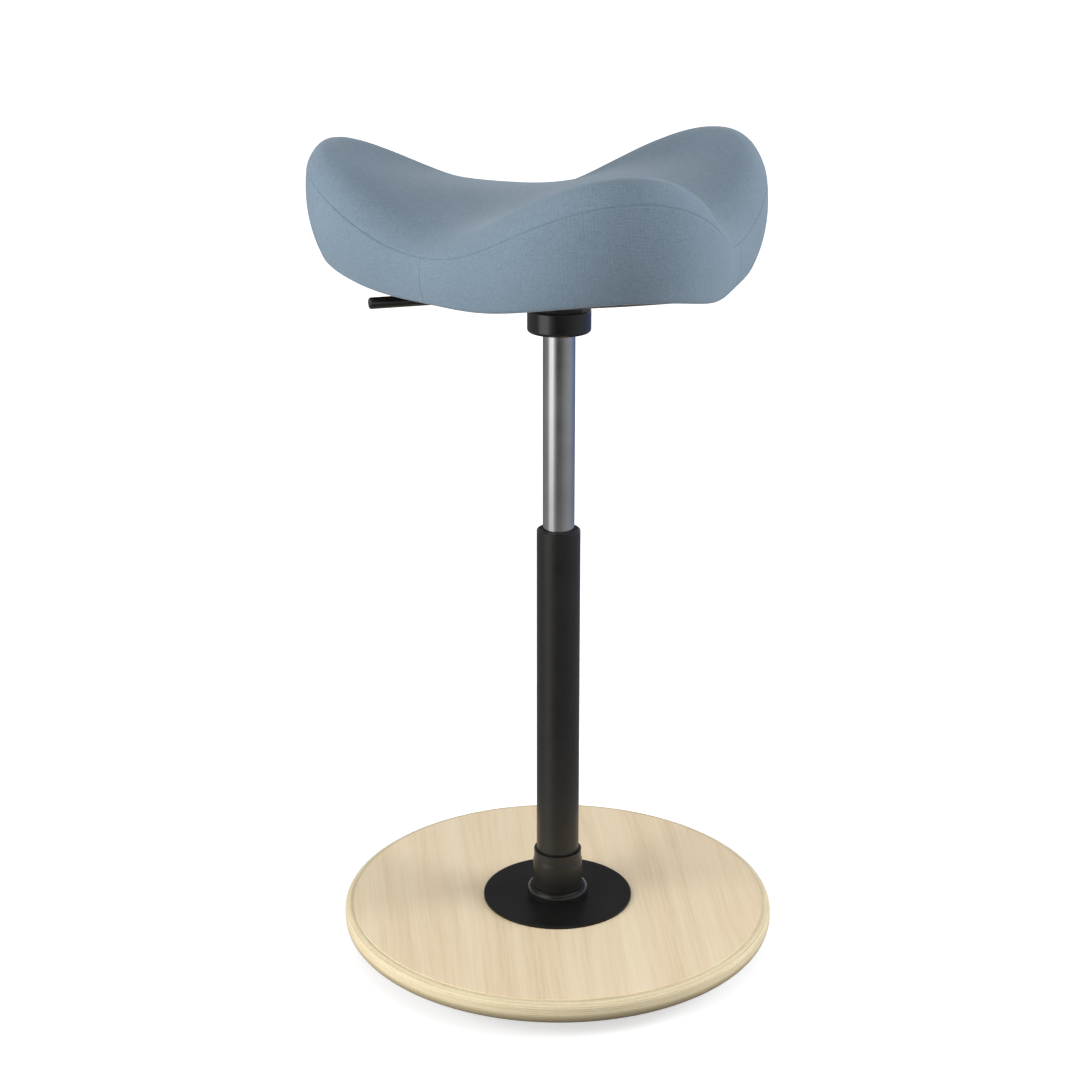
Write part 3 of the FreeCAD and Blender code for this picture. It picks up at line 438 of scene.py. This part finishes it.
FINISH_OF_SLOT = {
    "plywood": plywood_edge(),
    "veneer": lacquered_veneer(),
    "black_paint": black_paint("black_paint", reflection=0.5, coat=0.15),
    "zinc_steel": plated_steel(),
    "chrome": polished_chrome(),
    "black_plastic": gloss_black(),
    "bush_plastic": matt_grain(
        "matt_plastic", (46, 45, 44), (56, 55, 54), smooth=0.55, rough=0.68),
    "rubber": matt_rubber(),
    "seat_fabric": FABRIC,
    "foam": pale_foam(),
    "shell_wood": raw_plywood(),
    "underside": matt_grain(
        "underside_board", (92, 86, 79), (104, 98, 90), smooth=0.6, rough=0.72),
}
FINISH_OF_NODE = {
    "weld_bead": glossy_weld(),
    "flange_plate": black_paint("dull_black_paint", reflection=0.2, coat=0.0),
}


def dress_frame():
    """Gives every node of the frame its finish."""
    for subpart in frame["record"]["subparts"]:
        node = frame["nodes"][subpart["node"]]
        node.data.materials.clear()
        finish = FINISH_OF_NODE.get(subpart["node"], FINISH_OF_SLOT[subpart["material_slot"]])
        node.data.materials.append(finish)


# upholstery

CLOTH = 1.0 * MM
FABRIC_PROUD = 0.9 * MM
SIDE_PUFF = 1.3 * MM
SMOOTH_ANGLE = math.radians(50)

SEAM_ROLL = 2.2 * MM
SEAM_DEPTH, SEAM_DEPTH_SWING = 1.1 * MM, -0.4 * MM
END_SEAM_SHARE = 0.35

# rows of points lie at these shares, closer together towards the seam between crown and bands
CROWN_COLUMNS = 288
CROWN_SHARES = [index / 44 for index in range(42)]
CROWN_SHARES += [0.94, 0.952, 0.962, 0.971, 0.979, 0.985, 0.990, 0.994, 0.997, 0.999, 1.0]
BAND_COLUMNS = 132
BAND_SHARES = [0.0, 0.004, 0.009, 0.016, 0.025, 0.036, 0.05]
BAND_SHARES += [0.07 + 0.93 * index / 26 for index in range(27)]

BAND_NAMES = ("front_band", "right_band", "left_band")
# in degrees: where the first band starts, and from there on to the next
BAND_START, BAND_TURN = -60, 120
BAND_SPAN = math.radians(BAND_TURN)
# how strongly a band's columns crowd to its ends, and the share at which its length is taken
BAND_CROWDING = 0.12
BAND_LENGTH_AT = 0.3
# the hem's turned edge: how far in and how far up each of its rows lies, in millimetres
HEM_TURN = ((1.2, -1.6), (3.2, -2.2), (6.0, -1.6), (10.0, -0.2))
# keeps the bands apart on the cloth: millimetres for each radian of their start
BAND_MAP_SHIFT = 1000


def grid_mesh(name, rows, closed, cloth_map):
    """A fabric sheet through rows of points that are all of one length.

    cloth_map gives the place of each point in the cloth, in millimetres.
    """
    mesh = bpy.data.meshes.new(name)
    width = len(rows[0])
    faces = []
    for upper in range(len(rows) - 1):
        for column in range(width if closed else width - 1):
            following = (column + 1) % width
            faces.append((upper * width + column, (upper + 1) * width + column,
                          (upper + 1) * width + following, upper * width + following))
    mesh.from_pydata([point for row in rows for point in row], [], faces)
    layer = mesh.uv_layers.new(name="cloth")
    for polygon in mesh.polygons:
        for loop in polygon.loop_indices:
            row, column = divmod(mesh.loops[loop].vertex_index, width)
            layer.data[loop].uv = cloth_map(row, column)
    mesh.materials.append(FABRIC)
    piece = bpy.data.objects.new(name, mesh)
    bpy.context.collection.objects.link(piece)
    return piece


def close_pole(piece, columns):
    """Joins the first row of points, which all lie in one place, into one."""
    mesh = bmesh.new()
    mesh.from_mesh(piece.data)
    mesh.verts.ensure_lookup_table()
    bmesh.ops.pointmerge(mesh, verts=mesh.verts[:columns], merge_co=mesh.verts[0].co)
    mesh.to_mesh(piece.data)
    mesh.free()


def running_lengths(points):
    """How far along their line each of the points lies."""
    lengths = [0.0]
    for before, after in zip(points, points[1:]):
        lengths.append(lengths[-1] + (after - before).length)
    return lengths


def roll(distance, angle):
    """How far the cloth dips at a distance from a seam.

    It dips most in the valleys and least on the lobes.
    """
    if distance >= SEAM_ROLL:
        return 0.0
    share = 1 - distance / SEAM_ROLL
    return lobed(SEAM_DEPTH, SEAM_DEPTH_SWING, angle) * (1 - math.sqrt(max(1 - share * share, 0.0)))


def crown_cloth(share, angle):
    point = crown_point(share, angle)
    dip = roll((crown_point(1.0, angle) - point).length, angle)
    return point + surface_normal(crown_point, share, angle) * (FABRIC_PROUD - dip)


def crown_panel():
    """The crown: one panel over the whole top, dipping into the seam round its rim."""
    angles = [2 * math.pi * column / CROWN_COLUMNS for column in range(CROWN_COLUMNS)]
    rows = [[crown_cloth(share, angle) for angle in angles] for share in CROWN_SHARES]
    reach = [running_lengths(column) for column in zip(*rows)]

    def cloth_map(row, column):
        turn = angles[column] + FRONT_LOBE
        from_middle = reach[column][row] / MM
        return from_middle * math.cos(turn), from_middle * math.sin(turn)
    panel = grid_mesh("crown_panel", rows, True, cloth_map)
    close_pole(panel, CROWN_COLUMNS)
    return panel


def band_cloth(share, angle, along, length):
    point = side_point(share, angle)
    from_seam = (point - side_point(0.0, angle)).length
    from_end = min(along, length - along)
    dip = max(roll(from_seam, angle), roll(from_end, angle) * END_SEAM_SHARE)
    proud = FABRIC_PROUD + SIDE_PUFF * bulge(share) - dip
    return point + surface_normal(side_point, share, angle) * proud


def hem_cloth(angle, turn_in, rise):
    hem = side_point(1.0, angle)
    inward = Vector((-hem.x, -hem.y, 0)).normalized()
    return hem + inward * (turn_in * MM) + Vector((0, 0, rise * MM))


def side_panel(name, start):
    """A length of the side band, from one valley to the next.

    It has a roll at every seam and a turned hem.
    """
    angles = []
    for column in range(BAND_COLUMNS + 1):
        share = column / BAND_COLUMNS
        crowded = share - math.sin(2 * math.pi * share) * BAND_CROWDING
        angles.append(start + BAND_SPAN * crowded)
    run = running_lengths([side_point(BAND_LENGTH_AT, angle) for angle in angles])
    rows = [[band_cloth(share, angle, along, run[-1]) for angle, along in zip(angles, run)]
            for share in BAND_SHARES]
    rows += [[hem_cloth(angle, turn_in, rise) for angle in angles] for turn_in, rise in HEM_TURN]

    def cloth_map(row, column):
        lowest = min(row, len(BAND_SHARES) - 1)
        drop = (rows[lowest][column] - rows[0][column]).length
        return run[column] / MM + start * BAND_MAP_SHIFT, drop / MM
    return grid_mesh(name, rows, False, cloth_map)


def thickened(piece):
    """Gives a sheet its cloth thickness inwards and smooths its shading."""
    solidify = piece.modifiers.new("cloth", "SOLIDIFY")
    solidify.thickness = CLOTH
    solidify.offset = -1
    bpy.context.view_layer.objects.active = piece
    bpy.ops.object.select_all(action="DESELECT")
    piece.select_set(True)
    bpy.ops.object.modifier_apply(modifier=solidify.name)
    bpy.ops.object.shade_smooth_by_angle(angle=SMOOTH_ANGLE)
    return piece


def outwards(piece):
    """Turns the faces so that they look away from a point inside the seat."""
    inside = Vector((0, 0, SHELL_FLOOR + 20 * MM))
    mesh = bmesh.new()
    mesh.from_mesh(piece.data)
    away = sum(1 if face.normal.dot(face.calc_center_median() - inside) > 0 else -1
               for face in mesh.faces)
    if away < 0:
        bmesh.ops.reverse_faces(mesh, faces=mesh.faces)
    mesh.to_mesh(piece.data)
    mesh.free()
    return piece


def build_upholstery():
    crown = thickened(outwards(crown_panel()))
    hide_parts("top_cover", "foam_pad")
    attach(crown, "seat")
    for index, name in enumerate(BAND_NAMES):
        start = math.radians(BAND_START + BAND_TURN * index)
        band = thickened(outwards(side_panel(name + "_cloth", start)))
        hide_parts(name)
        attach(band, "seat")


# surroundings

CAMERA_SIDE = -0.0169
CAMERA_BACK = -1.750
CAMERA_HEIGHT = 0.963
CAMERA_PITCH = 17.9
CAMERA_LENS = 67.33
CAMERA_SENSOR = 36.0

FLOOR_SIZE = 70
FLOOR_DROP = 0.2 * MM
FLOOR_DARK, FLOOR_LIGHT = 0.82, 0.84
# the floor glows faintly round the stool and more outwards, so that it is white to the horizon
FLOOR_GLOW_NEAR, FLOOR_GLOW_FAR = 0.50, 0.80
GLOW_FROM, GLOW_TO = 0.45, 2.0

# each soft light's name, place, the height on the column that it faces, its sides and its watts
SOFT_LIGHTS = (
    ("left_window", (-2.0, -1.1, 0.80), 0.45, (1.8, 1.8), 58),
    ("right_window", (2.1, -0.25, 0.95), 0.45, (1.4, 1.8), 50),
    ("front_fill", (-0.2, -2.8, 1.5), 0.35, (1.6, 1.0), 1),
)

# how bright the studio's walls are round the stool, from straight behind it by way of the left
# and the front
STUDIO_WALLS = (
    (0.00, (0.15, 0.15, 0.15)), (0.10, (0.16, 0.16, 0.16)), (0.185, (0.24, 0.24, 0.24)),
    (0.265, (0.30, 0.30, 0.30)), (0.31, (1.40, 1.39, 1.36)), (0.375, (1.60, 1.58, 1.54)),
    (0.415, (0.45, 0.45, 0.44)), (0.465, (0.05, 0.05, 0.045)), (0.53, (0.07, 0.07, 0.06)),
    (0.60, (0.22, 0.22, 0.215)), (0.68, (0.34, 0.34, 0.34)), (0.74, (0.35, 0.37, 0.42)),
    (0.79, (0.26, 0.32, 0.47)), (0.90, (0.13, 0.17, 0.33)), (1.00, (0.15, 0.15, 0.15)),
)
# ramps hold colours up to 1, so the walls are stored darker by this and made brighter at the end
WALL_SCALE = 4.0

# the heights below are those of a direction: -1 straight down, 0 at the horizon, 1 straight up
LOW_WALL = (0.27, 0.27, 0.265)
LOW_FROM, LOW_TO, LOW_SHARE = -0.32, -0.24, 0.8
GROUND_GLOW, GROUND_FROM, GROUND_TO = 0.5, -0.75, -0.50
BACKDROP_FROM, BACKDROP_TO = -0.06, -0.02
HORIZON, HORIZON_FROM, HORIZON_TO = (0.80, 0.81, 0.83), 0.18, 0.34
CEILING_GLOW, CEILING_FROM, CEILING_TO = 0.6, 0.45, 0.95
OVERHEAD, OVERHEAD_FROM, OVERHEAD_TO = (0.85, 0.85, 0.85), 0.70, 0.82


def build_camera():
    data = bpy.data.cameras.new("camera")
    data.lens = CAMERA_LENS
    data.sensor_width = CAMERA_SENSOR
    camera = bpy.data.objects.new("camera", data)
    camera.location = (CAMERA_SIDE, CAMERA_BACK, CAMERA_HEIGHT)
    camera.rotation_euler = (math.radians(90 - CAMERA_PITCH), 0, 0)
    bpy.context.collection.objects.link(camera)
    bpy.context.scene.camera = camera


def build_floor():
    """A pale floor for the camera alone: it lights nothing and nothing mirrors it."""
    bpy.ops.mesh.primitive_plane_add(
        size=FLOOR_SIZE, location=(0, 0, low("tilt_ring").z - FLOOR_DROP))
    floor = bpy.context.active_object
    floor.name = "floor"
    finish = Finish("pale_floor")
    speck = finish.noise(finish.place(), 3.0, 2.0)
    away = finish.vector_math("LENGTH", finish.place(), output="Value")
    glow = finish.ramp(finish.ranged(away, GLOW_FROM, GLOW_TO, 0.0, 1.0),
                       (0.0, grey(FLOOR_GLOW_NEAR)), (1.0, grey(FLOOR_GLOW_FAR)))
    finish.set(
        Base_Color=finish.ramp(
            speck, (NOISE_LOW, grey(FLOOR_DARK)), (NOISE_HIGH, grey(FLOOR_LIGHT))),
        Roughness=0.9, Specular_IOR_Level=0.1, Emission_Color=glow, Emission_Strength=1.0)
    floor.data.materials.append(finish.material)
    floor.visible_glossy = False
    floor.visible_diffuse = False


def wall_color(channels):
    """A wall's brightness as a colour that a ramp can hold."""
    return tuple(channel / WALL_SCALE for channel in channels) + (1.0,)


def build_studio():
    """Grey walls with one tall window at the left, as the polished parts mirror them."""
    world = bpy.data.worlds.new("studio")
    world.use_nodes = True
    sky = Nodes(world.node_tree)
    way = sky.node("ShaderNodeTexCoord", output="Generated")
    rise = sky.axis(way, "Z")
    turn = sky.axis(way, "X").math("ARCTAN2", sky.axis(way, "Y") * -1.0)
    share = turn.math("MULTIPLY_ADD", 0.5 / math.pi, 0.5)
    color = sky.ramp(share, *((place, wall_color(wall)) for place, wall in STUDIO_WALLS))
    color = sky.mixed(sky.ranged(rise, LOW_FROM, LOW_TO, LOW_SHARE, 0.0),
                      color, wall_color(LOW_WALL))
    backdrop = (sky.ranged(rise, BACKDROP_FROM, BACKDROP_TO, 0.0, 1.0)
                * sky.ranged(rise, HORIZON_FROM, HORIZON_TO, 1.0, 0.0))
    color = sky.mixed(backdrop, color, wall_color(HORIZON))
    color = sky.mixed(sky.ranged(rise, OVERHEAD_FROM, OVERHEAD_TO, 0.0, 1.0),
                      color, wall_color(OVERHEAD))
    level = (sky.ranged(rise, CEILING_FROM, CEILING_TO, 1.0, CEILING_GLOW)
             * sky.ranged(rise, GROUND_FROM, GROUND_TO, GROUND_GLOW, 1.0))
    glow = sky.node("ShaderNodeBackground", {}, {0: color, 1: level * WALL_SCALE})
    sky.feed(sky.tree.nodes.new("ShaderNodeOutputWorld").inputs[0], glow)
    bpy.context.scene.world = world


def soft_light(name, location, target_height, size, power):
    data = bpy.data.lights.new(name, "AREA")
    data.shape = "RECTANGLE"
    data.size, data.size_y = size
    data.energy = power
    light = bpy.data.objects.new(name, data)
    light.location = location
    toward = Vector((0, 0, target_height)) - Vector(location)
    light.rotation_euler = toward.to_track_quat("-Z", "Y").to_euler()
    bpy.context.collection.objects.link(light)
    light.visible_glossy = False


def build_light():
    build_studio()
    bpy.context.scene.view_settings.view_transform = "Standard"
    for settings in SOFT_LIGHTS:
        soft_light(*settings)


dress_frame()
build_upholstery()
build_camera()
build_floor()
build_light()
